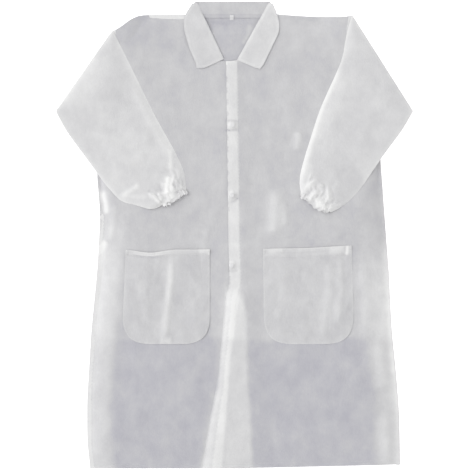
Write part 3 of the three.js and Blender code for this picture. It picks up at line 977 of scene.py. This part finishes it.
# as frontFolds: the last value is painted highlight, or painted shade below zero
sleeveFolds = {
    "right": [
        ([(-268, 90), (-244, 104), (-221, 119)], 2.0, 4, 5, 1.5, 0.32),
        ([(-266, 88), (-236, 90), (-200, 87)], 1.5, 4, 4, 1.5, 0.18),
        ([(-150, 204), (-150, 150)], 1.2, 3, 3, 1.0, 0.32),
        ([(-154, 140), (-156, 112), (-158, 92)], 2.6, 6, 7, 1.5, 0.60),
        ([(-150, 98), (-144, 84)], 1.8, 4, 4, 1.0, 0.40),
        ([(-176, 146), (-160, 150), (-150, 146)], -1.2, 4, 4, 1.5, -0.12),
        ([(-136, 160), (-128, 124)], 1.2, 6, 6, 1.5, 0.08),
        ([(-330, 236), (-290, 224), (-230, 236), (-190, 226)], 1.4, 16, 14, 0, 0.06),
        ([(-300, 190), (-250, 176), (-205, 184)], 1.2, 13, 12, 0, 0.06),
        ([(-206, 168), (-180, 158), (-160, 158)], 1.2, 8, 8, 1.5, -0.05),
        ([(-336, 330), (-300, 346), (-262, 340)], 1.1, 20, 18, 0, -0.06),
        ([(-250, 370), (-205, 276), (-158, 192)], 0.9, 7, 6, 2, 0.06),
        ([(-392, 292), (-340, 300), (-300, 290)], 0.8, 16, 16, 0, 0.0),
        ([(-300, 170), (-230, 160), (-190, 150)], 0.3, 50, 50, 0, 0.09),
        ([(-310, 260), (-296, 246), (-268, 244)], -0.7, 10, 10, 0, -0.08),
        ([(-320, 432), (-360, 374), (-414, 296)], 0.0, 26, 26, 0, 0.20),
        ([(-184, 292), (-177, 271), (-163, 234), (-146, 180)], 0.5, 13, 22, 0, 0.15),
    ],
    "left": [
        ([(252, 412), (202, 304), (176, 204), (158, 140), (162, 108)], 1.8, 12, 6, 0, 0.28),
        ([(180, 170), (186, 140), (188, 112)], 1.2, 7, 8, 1.5, 0.05),
        ([(190, 88), (196, 74), (199, 62)], 2.4, 5, 5, 1.0, 0.55),
        ([(206, 66), (218, 60)], 2.0, 5, 5, 1.0, 0.45),
        ([(212, 120), (206, 100), (204, 80)], 1.4, 7, 7, 1.5, 0.10),
        ([(250, 130), (232, 104), (220, 80)], 1.4, 8, 8, 1.5, 0.04),
        ([(272, 380), (236, 290), (206, 210)], 1.0, 12, 24, 0, 0.08),
        ([(330, 300), (300, 220), (262, 150)], 0.9, 20, 22, 0, -0.03),
        ([(300, 400), (330, 340), (380, 310)], 0.9, 18, 20, 0, -0.05),
        ([(270, 500), (276, 460), (268, 420)], 0.8, 8, 8, 2, 0.05),
        ([(300, 150), (250, 110), (225, 96)], 0.3, 34, 40, 0, -0.10),
        ([(290, 494), (340, 414), (414, 296)], 0.0, 10, 10, 0, -0.08),
    ],
}


def cuffPlace(side):  # middle, way across, way out, width and depth of a cuff, in plan
    points = np.array([v.co for v in nodes[f"{side}_cuff_casing"].data.vertices])[:, :2]
    middle = points.mean(0)
    _, _, ways = np.linalg.svd(points - middle, full_matrices=False)
    across, out = ways[0], ways[1]
    if (sleeveLoops[side].mean(0) - middle) @ out > 0:
        out = -out
    if across[0] * out[1] - across[1] * out[0] > 0:
        across = -across
    span = (points - middle) @ across
    reach = (points - middle) @ out
    middle = middle + across * (span.max() + span.min()) / 2 + out * reach.min()
    return middle, across, out, span.max() - span.min(), reach.max() - reach.min()


def splitRim(loop, side):  # the sewn or folded rim of a sleeve, without its open cuff end
    middle, across, out, width, _ = cuffPlace(side)
    beyond = np.abs((loop - middle) @ out) < 0.004
    within = np.abs((loop - middle) @ across) < width / 2 - 0.001
    open_ = beyond & within
    start = np.flatnonzero(open_ & ~np.roll(open_, -1))
    rim = np.roll(loop, -(start[0] + 1), axis=0) if len(start) else loop
    count = int((~open_).sum())
    return rim[:count]


def gatheredEnd(side, rim):  # the ragged open end, from the last point of the rim back to its first
    middle, across, out, width, depth = cuffPlace(side)
    share, reach = np.array(cuffEdge[side]).T
    if (rim[0] - rim[-1]) @ across < 0:
        share, reach = share[::-1], reach[::-1]
    path = openDense(middle + np.outer((share - 0.5) * width, across) + np.outer(reach * depth, out), 0.0018)
    for _ in range(2):
        path[1:-1] = (path[:-2] + 2 * path[1:-1] + path[2:]) / 4
    return path


def puckers(points, side):  # short sharp gathers that run in from the cuff
    middle, across, out, width, _ = cuffPlace(side)
    rng = np.random.default_rng(sleeveShape["seeds"][side][2])
    relief = np.zeros(len(points))
    for _ in range(sleeveShape["puckers"]):
        start = middle + across * rng.uniform(-0.5, 0.5) * width + out * rng.uniform(-0.01, 0.012)
        angle = rng.normal(0, 0.35)
        way = -out * math.cos(angle) + across * math.sin(angle)
        bent = way + across * rng.normal(0, 0.3)
        length = rng.uniform(0.012, 0.055)
        path = [start / mm, (start + way * length / 2) / mm, (start + bent * length) / mm]
        height = rng.uniform(0.8, 3.0) * rng.choice([-0.6, 1])
        left, right = rng.uniform(1.8, 4.6, 2)
        relief += fold(points, path, height, left, right, 0.8, 0.25)
    return relief


def sleeveWalls(side):
    middle, _, out, _, _ = cuffPlace(side)
    bloused = inset(eased(sleeveLoops[side], clothMake["spacing"]), -0.0012)
    for spot, push, reach in bulge[side]:
        near = np.exp(-(np.linalg.norm(bloused - np.array(spot) * mm, axis=1) / (reach * mm)) ** 2)
        bloused = bloused + np.outer(near, push) * mm
    rim = splitRim(bloused, side)
    loop = np.vstack([rim, gatheredEnd(side, rim)])
    points, faces = triangulated(loop, clothMake["spacing"], [(middle, 0.062, 0.0021)])
    d = nearPath(points, rim)[0]
    toCuff = np.clip(-(points - middle) @ out, 0, None)
    nearCuff = np.exp(-toCuff / 0.045)
    tall = sleeveShape["height"] + (sleeveShape["cuffHeight"] - sleeveShape["height"]) * nearCuff
    puff = tall * mm * (1 - np.exp(-d / ((sleeveShape["rim"] * (1 - 0.45 * nearCuff)) * mm)))
    waves, creases, _ = sleeveShape["seeds"][side]
    relief = swell(points, waves, count=6, wave=(90, 220), height=0.5)
    relief += crinkle(points, creases, count=70, length=(40, 170), width=(4, 11), height=(0.12, 0.5),
                      heading=sleeveShape["creases"][side], spread=40)
    relief += foldRelief(points, sleeveFolds[side])
    gathers = puckers(points, side)
    lower = np.full(len(points), sleeveShape["floor"] * mm)
    front, frontHeight = (rightLoop, rightFrontHeight) if side == "right" else (leftLoop, leftFrontHeight)
    over = insideOf(points, front)
    lower = np.where(over, np.maximum(lower, frontHeight(points) + sleeveShape["clear"] * mm), lower)
    spot, rise = lifted[side]
    lower += rise * mm * np.exp(-(np.linalg.norm(points - np.array(spot) * mm, axis=1) / 0.034) ** 2)
    upper = lower + puff + (relief + gathers) * smooth(d / 0.010)
    plyAndLight = 0.52 + 0.22 * np.exp(-d / 0.0035) + 0.09 * np.exp(-d / 0.014)  # whiter along the rim: its seam plies, with painted light against the shade of the turning edge
    plyAndLight += 0.10 * np.exp(-toCuff / 0.02) + 0.30 * np.clip(gathers / 0.0026, -0.6, 1)  # whiter towards the cuff; painted highlight on the raised gathers, painted shade in their dips
    plyAndLight += paintedFoldLight(points, sleeveFolds[side])
    return loop, points, faces, np.maximum(upper, lower), lower, plyAndLight


def headWalls(side):
    plain = eased(headLoops[side], clothMake["spacing"], 0.011)
    alongCrease = awayFromJoint(plain, f"{side}_sleeve") < 0.002
    loop = np.where(alongCrease[:, None], inset(plain, -0.0014), inset(plain, -0.0010))
    armholeLine = planOutline("back_panel")
    closed = nearLoop(loop, armholeLine) > 0.003
    start = np.flatnonzero(closed & ~np.roll(closed, 1))
    rim = np.roll(loop, -start[0], axis=0)[: int(closed.sum())]
    points, faces = triangulated(loop, clothMake["spacing"])
    d = nearPath(points, rim)[0]
    fromCrease = awayFromJoint(points, f"{side}_sleeve")
    fall = (headShape["crease"] - headShape["armhole"]) * smooth(fromCrease / 0.07)
    rimHeight = (headShape["crease"] - fall) * mm
    blendIn = 1 - np.exp(-d / 0.014)
    upper = rimHeight + (headShape["upper"] * mm - rimHeight) * blendIn
    lower = rimHeight - (rimHeight - headShape["lower"] * mm) * blendIn
    relief = crinkle(points, seed=45, count=20, length=(30, 90), width=(4, 9), height=(0.1, 0.3),
                     heading=0, spread=60) * smooth(d / 0.02)
    upper = np.minimum(upper + relief, headShape["most"] * mm)
    # whiter along the armhole seam; painted light along the crease, against the sleeve's shadow
    plyAndLight = 0.34 + 0.42 * np.exp(-nearLoop(points, armholeLine) / 0.004) + 0.5 * np.exp(-fromCrease / 0.004)
    return loop, points, faces, upper, lower, plyAndLight


def twoWalls(name, points, faces, upper, lower, plyAndLight):
    piece = meshFrom(name, [(points, upper, faces, False, plyAndLight), (points, lower, faces, True, plyAndLight)])
    return finishSheet(piece, nonwoven, clothMake["thickness"])


for side in sides:
    loop, *walls = sleeveWalls(side)
    piece = twoWalls(f"{side}Sleeve", *walls)
    mount(piece, f"{side}_sleeve", f"{side}_sleeve")
    declare(loop, sheets=2.0)

    loop, *walls = headWalls(side)
    piece = twoWalls(f"{side}SleeveHead", *walls)
    mount(piece, "coat_body", f"{side}_sleeve_head")
    declare(loop, sheets=2.0)
print("sleeves ready")

# cuffs

cuffShape = {
    "around": 240,
    "along": 14,
    "gathers": 19,
    "ruffle": 1.5,
    "ragged": 3.0,
    "narrow": 0.86,
    "low": 2.6,
    "wall": 2.6,
    "seed": {"right": 51, "left": 52},
}


def flattenedRing(width, height, count):  # points, outward normals and length round a flattened tube
    straight, bend = width - height, math.pi * height / 2
    around = 2 * (straight + bend)
    shape, normals = [], []
    for k in range(count):
        below, s = divmod(k / count * around, straight + bend)
        turn = max(0.0, s - straight) / (height / 2)
        normal = np.array([math.sin(turn), math.cos(turn)])
        point = np.array([min(s, straight) - straight / 2, 0.0]) + normal * height / 2
        side = -1 if below else 1
        shape.append(point * side)
        normals.append(normal * side)
    return np.array(shape), np.array(normals), around


def makeCuff(side):
    width, depth = cuffPlace(side)[3:]
    height = (sleeveShape["cuffHeight"] - cuffShape["low"]) * mm
    ruffle = cuffShape["ruffle"] * mm
    rng = np.random.default_rng(cuffShape["seed"][side])
    turn = np.arange(cuffShape["around"]) / cuffShape["around"]
    shape, normals, around = flattenedRing(width * cuffShape["narrow"], height, cuffShape["around"])
    warp = sum(rng.uniform(0.2, 0.5) * np.sin(2 * math.pi * k * turn + rng.uniform(0, 6)) for k in (2, 3, 5))
    wave = 0.5 + 0.5 * np.sin(2 * math.pi * cuffShape["gathers"] * turn + 1.6 * warp)
    size = 0.75 + 0.25 * np.sin(2 * math.pi * 7 * turn + 2 * warp)
    ups = np.maximum(normals[:, 1], -0.2)  # the ruffles lie flat where the cuff rests on the coat
    rows = []
    steps = cuffShape["along"]
    lip = depth * 0.95
    ragged = sum(np.sin(2 * math.pi * k * turn + rng.uniform(0, 6)) for k in (5, 9, 14)) / 3
    ragged *= cuffShape["ragged"] * mm
    for i in range(steps + 1):
        s = i / steps
        pinch = 0.45 + 0.55 * abs(math.cos(math.pi * s))
        rise = ruffle * pinch * wave * size * (0.35 + 0.65 * np.clip(ups + 0.4, 0, 1))
        rows.append((s * lip, rise, 0.0))
    inner = []
    for i in range(steps // 2 + 1):
        s = 1 - i / (steps // 2)
        inner.append((s * lip, 0.25 * ruffle * wave, -cuffShape["wall"] * mm))
    piece = ringPiece(f"{side}Cuff", side, shape, normals, ragged, lip, rows + inner, 0.66, nonwoven, 0.0004)
    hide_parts(f"{side}_cuff_casing")
    reach = np.linspace(0.25, 0.72, 6) * lip
    band = [(r, 0.2 * ruffle * wave, -1.5 * mm) for r in reach]
    even = np.zeros(len(turn))
    piece = ringPiece(f"{side}Elastic", side, shape, normals, even, lip, band, 0.5, elasticCloth, 0.0005)
    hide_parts(f"{side}_cuff_elastic")


def ringPiece(name, side, shape, normals, ragged, lip, rows, plyAndLight, material, thickness):
    middle, across, out, _, _ = cuffPlace(side)
    count = len(shape)
    vertices = []
    for distance, rise, inward in rows:
        p = shape + normals * (rise + inward)[:, None]
        for (u, v), uneven in zip(p, ragged * (distance / lip)):
            place = middle + across * u + out * (distance + uneven + 0.0004)
            z = sleeveShape["floor"] * mm + max(0.0035 + v, 0.0001)
            vertices.append((place[0], place[1], z))
    faces = [
        (r * count + c, r * count + (c + 1) % count, (r + 1) * count + (c + 1) % count, (r + 1) * count + c)
        for r in range(len(rows) - 1)
        for c in range(count)
    ]
    piece = newPiece(name, vertices, [], faces, np.full(len(vertices), plyAndLight))
    work = bmesh.new()
    work.from_mesh(piece.data)
    bmesh.ops.recalc_face_normals(work, faces=work.faces)
    work.to_mesh(piece.data)
    work.free()
    finishSheet(piece, material, thickness, merge=False)
    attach(piece, f"{side}_sleeve")
    return piece


for side in sides:
    makeCuff(side)
print("cuffs ready")

# collar

collarShape = {
    "stand": 0.4,
    "roll": 1.2,
    "leaf": 1.95,
    "rollWidth": 3.5,
    "neckLow": 1.5,  # height of the collar where it goes round the back of the neck
    "spacing": 0.0036,
    "thickness": 0.0008,
    "seed": {"right": 62, "left": 63},
    # the left leaf is painted lighter, as if it caught more light
    "paintedLight": {"right": 0, "left": 0.12},
}


def collarBase(points):
    fall = smooth((points[:, 1] - 0.470) / 0.075)
    return frontBase(points) * (1 - fall) + collarShape["neckLow"] * mm * fall


def collarPly(points, loop):
    edge = nearLoop(points, loop)
    return 0.48 + 0.14 * np.exp(-((edge - 0.0035) / 0.0024) ** 2)


def makeCollarSide(side):
    leafName, standName = f"{side}_collar_leaf", f"{side}_collar_stand"
    leaf, stand = (eased(planOutline(name), collarShape["spacing"], 0.008) for name in (leafName, standName))
    walls = []
    for loop, height, flipped in ((leaf, collarShape["leaf"], False), (stand, collarShape["stand"], True)):
        points, faces = triangulated(loop, collarShape["spacing"])
        away = awayFromJoint(points, leafName)
        turnIn = 1 - np.exp(-away / (collarShape["rollWidth"] * mm))
        z = collarBase(points) + (collarShape["roll"] + (height - collarShape["roll"]) * turnIn) * mm
        if not flipped:
            z += swell(points, seed=61, count=5, wave=(60, 140), height=0.12) * smooth(away / 0.02)
            wrinkles = crinkle(points, collarShape["seed"][side], count=14, length=(20, 70), width=(4, 8),
                               height=(0.06, 0.25), heading=70, spread=50)
            z += wrinkles * smooth(away / 0.02)
        walls.append((points, z, faces, flipped, collarPly(points, loop) + collarShape["paintedLight"][side]))
    piece = finishSheet(meshFrom(f"{side}Collar", walls), nonwoven, collarShape["thickness"])
    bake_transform(piece)
    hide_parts(leafName, standName)
    area = abs(areaOf(leaf)) + abs(areaOf(stand))


for side in sides:
    makeCollarSide(side)

backCollar = {
    "spacing": 0.004,
    "thickness": 0.0006,
    "tone": 0.32,
    "stand": (2.3, -0.9, 6),  # height, how far it turns in at the roll, over what width
    "fall": (0.5, 0.9, 4),
}


def makeCollarBack():
    standLoop, fallLoop = planOutline("collar_back_stand"), planOutline("collar_back_fall")
    top = fallLoop[:, 1].max()
    spacing = backCollar["spacing"]
    walls = []
    for loop, (height, roll, width), flipped in (
        (eased(standLoop, spacing, 0.008), backCollar["stand"], False),
        (inset(eased(fallLoop, spacing, 0.008), 0.001), backCollar["fall"], True),
    ):
        points, faces = triangulated(loop, spacing)
        fromTop = top - points[:, 1]
        z = (height + roll * np.exp(-fromTop / (width * mm))) * mm  # both walls meet at the roll
        if not flipped:
            z += crinkle(points, seed=64, count=20, length=(15, 60), width=(3, 6), height=(0.2, 0.6),
                         heading=20, spread=40) * smooth(fromTop / 0.01)
        walls.append((points, z, faces, flipped, level(backCollar["tone"])(points)))
    piece = finishSheet(meshFrom("collarBack", walls), nonwoven, backCollar["thickness"])
    mount(piece, "coat_body", "collar_back_stand", "collar_back_fall")
    area = abs(areaOf(standLoop)) + abs(areaOf(fallLoop))


makeCollarBack()

labelShape = {"length": 0.7, "height": 1.6, "roll": 2.2, "spacing": 0.0015, "thickness": 0.0003, "tone": 0.2}
labelLoop = planOutline("size_label")
labelTop = labelLoop[:, 1].max()
labelLoop[:, 1] = labelTop - (labelTop - labelLoop[:, 1]) * labelShape["length"]
labelLoop = dense(labelLoop, labelShape["spacing"])


def labelHeight(points):  # a soft ridge runs across it just under its top
    fromTop = labelTop - points[:, 1] - 0.004
    return (labelShape["height"] + labelShape["roll"] * np.exp(-(fromTop / 0.003) ** 2)) * mm


label = flatSheet("sizeLabel", labelLoop, labelHeight, level(labelShape["tone"]), labelCloth,
                  labelShape["spacing"], labelShape["thickness"])
mount(label, "coat_body", "size_label")
abs(areaOf(labelLoop))
print("collar ready")

# snaps keep the frame's own shapes

for name, node in nodes.items():
    if name.startswith("snap_"):
        node.data.materials.clear()
        node.data.materials.append(snapPlastic)

# stitching

stitchShape = {"pitch": 0.0034, "length": 0.0024, "width": 0.00055}


def makeStitchTree():  # a row of short stitches along each edge path
    tree = bpy.data.node_groups.new("stitchRow", "GeometryNodeTree")
    addSockets(tree, "INPUT", "NodeSocketGeometry", {"Geometry": None})
    addSockets(tree, "INPUT", "NodeSocketFloat", {
        "Pitch": stitchShape["pitch"],
        "Stitch Length": stitchShape["length"],
        "Stitch Width": stitchShape["width"],
    })
    addSockets(tree, "INPUT", "NodeSocketMaterial", {"Thread": None})
    addSockets(tree, "OUTPUT", "NodeSocketGeometry", {"Geometry": None})
    inputs, outputs = addNode(tree, "NodeGroupInput"), addNode(tree, "NodeGroupOutput")
    toCurve = addNode(tree, "GeometryNodeMeshToCurve")
    resample = addNode(tree, "GeometryNodeResampleCurve", mode="LENGTH")
    stitch = addNode(tree, "GeometryNodeMeshUVSphere", {"Segments": 6, "Rings": 4, "Radius": 0.5})
    scale = addNode(tree, "ShaderNodeCombineXYZ")
    shaped = addNode(tree, "GeometryNodeTransform")
    tangent = addNode(tree, "GeometryNodeInputTangent")
    turn = addNode(tree, "FunctionNodeAlignRotationToVector", axis="Z")
    place = addNode(tree, "GeometryNodeInstanceOnPoints")
    realise = addNode(tree, "GeometryNodeRealizeInstances")
    paint = addNode(tree, "GeometryNodeSetMaterial")
    wire(tree, (inputs, "Geometry", toCurve, "Mesh"), (toCurve, "Curve", resample, "Curve"),
         (inputs, "Pitch", resample, "Length"), (inputs, "Stitch Width", scale, "X"),
         (inputs, "Stitch Width", scale, "Y"), (inputs, "Stitch Length", scale, "Z"),
         (stitch, "Mesh", shaped, "Geometry"), (scale, "Vector", shaped, "Scale"),
         (tangent, "Tangent", turn, "Vector"), (resample, "Curve", place, "Points"),
         (shaped, "Geometry", place, "Instance"), (turn, "Rotation", place, "Rotation"),
         (place, "Instances", realise, "Geometry"), (realise, "Geometry", paint, "Geometry"),
         (inputs, "Thread", paint, "Material"), (paint, "Geometry", outputs, "Geometry"))
    return tree


stitchTree = makeStitchTree()


def stitchRows(name, rows):  # rows: lists of 3-D points
    vertices, edges = [], []
    for row in rows:
        start = len(vertices)
        vertices += [tuple(p) for p in row]
        edges += [(start + i, start + i + 1) for i in range(len(row) - 1)]
    piece = newPiece(name, vertices, edges, [])
    modifier = piece.modifiers.new("stitches", "NODES")
    modifier.node_group = stitchTree
    for item in stitchTree.interface.items_tree:
        if item.in_out == "INPUT" and item.name == "Thread":
            modifier[item.identifier] = thread
    keepResult(piece)
    piece.data.shade_smooth()
    return piece


def onSurface(path, heightOf, lift):
    path = np.asarray(path, float)
    return np.column_stack([path, heightOf(path) + lift])


def runs(path, keep):  # the stretches of a path where keep holds
    found, run = [], []
    for point, good in zip(path, keep):
        if good:
            run.append(point)
        elif run:
            found.append(np.array(run))
            run = []
    if run:
        found.append(np.array(run))
    return [r for r in found if len(r) > 3]


def movedAcross(path, distance):
    path = np.asarray(path, float)
    way = np.gradient(path, axis=0)
    way /= np.linalg.norm(way, axis=1)[:, None]
    return path + np.column_stack([-way[:, 1], way[:, 0]]) * distance


surfaceLift = clothMake["thickness"] / 2 + 0.0001
bodyRows = []
for side in sides:
    heightOf, sewn, mouth = pockets[side]
    edge = openDense(sewn, 0.003)
    centre = pocketLoops[side].mean(0)
    inward = movedAcross(edge, 0.002)
    if np.linalg.norm(inward - centre, axis=1).mean() > np.linalg.norm(edge - centre, axis=1).mean():
        inward = movedAcross(edge, -0.002)
    bodyRows.append(onSurface(inward, heightOf, surfaceLift))
    across = openDense(mouth, 0.003)
    share = np.linspace(0, 1, len(across))
    across[:, 1] -= sagOf(side, share)
    hemDepth = pocketShape["hem"][side] * mm
    for offset in (0.0025, hemDepth):
        row = across[2:-2] - (0, offset)
        bodyRows.append(onSurface(row, heightOf, surfaceLift))
    for end in (across[1], across[-2]):  # bartacks
        for k in range(5):
            tack = np.array([(end[0] + (k - 2) * 0.0007, end[1] - down) for down in (0.001, 0.006, 0.011)])
            bodyRows.append(onSurface(tack, heightOf, surfaceLift + 0.0001))
hemRow = openDense(np.array([(rightLoop[:, 0].min() + 0.012, hemY + 0.010), (0.02, hemY + 0.010)]), 0.004)
onRight = insideOf(hemRow, rightLoop) & ~insideOf(hemRow, leftLoop)
bodyRows += [onSurface(row, rightFrontHeight, surfaceLift) for row in runs(hemRow, onRight)]
bodyStitches = stitchRows("bodyStitches", bodyRows)
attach(bodyStitches, "coat_body")

flapRows = []
edge = openDense(flapEdge, 0.004)
for offset in (0.0025, 0.0255):
    row = movedAcross(edge, offset)
    row = row[row[:, 1] > hemY + 0.002]
    flapRows.append(onSurface(row, leftFrontHeight, surfaceLift))
hemRow = openDense(np.array([(-0.08, hemY + 0.010), (leftLoop[:, 0].max() - 0.012, hemY + 0.019)]), 0.004)
onLeft = insideOf(hemRow, leftLoop)
flapRows += [onSurface(row, leftFrontHeight, surfaceLift) for row in runs(hemRow, onLeft)]
flapStitches = stitchRows("frontStitches", flapRows)
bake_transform(flapStitches)
print("stitches ready")
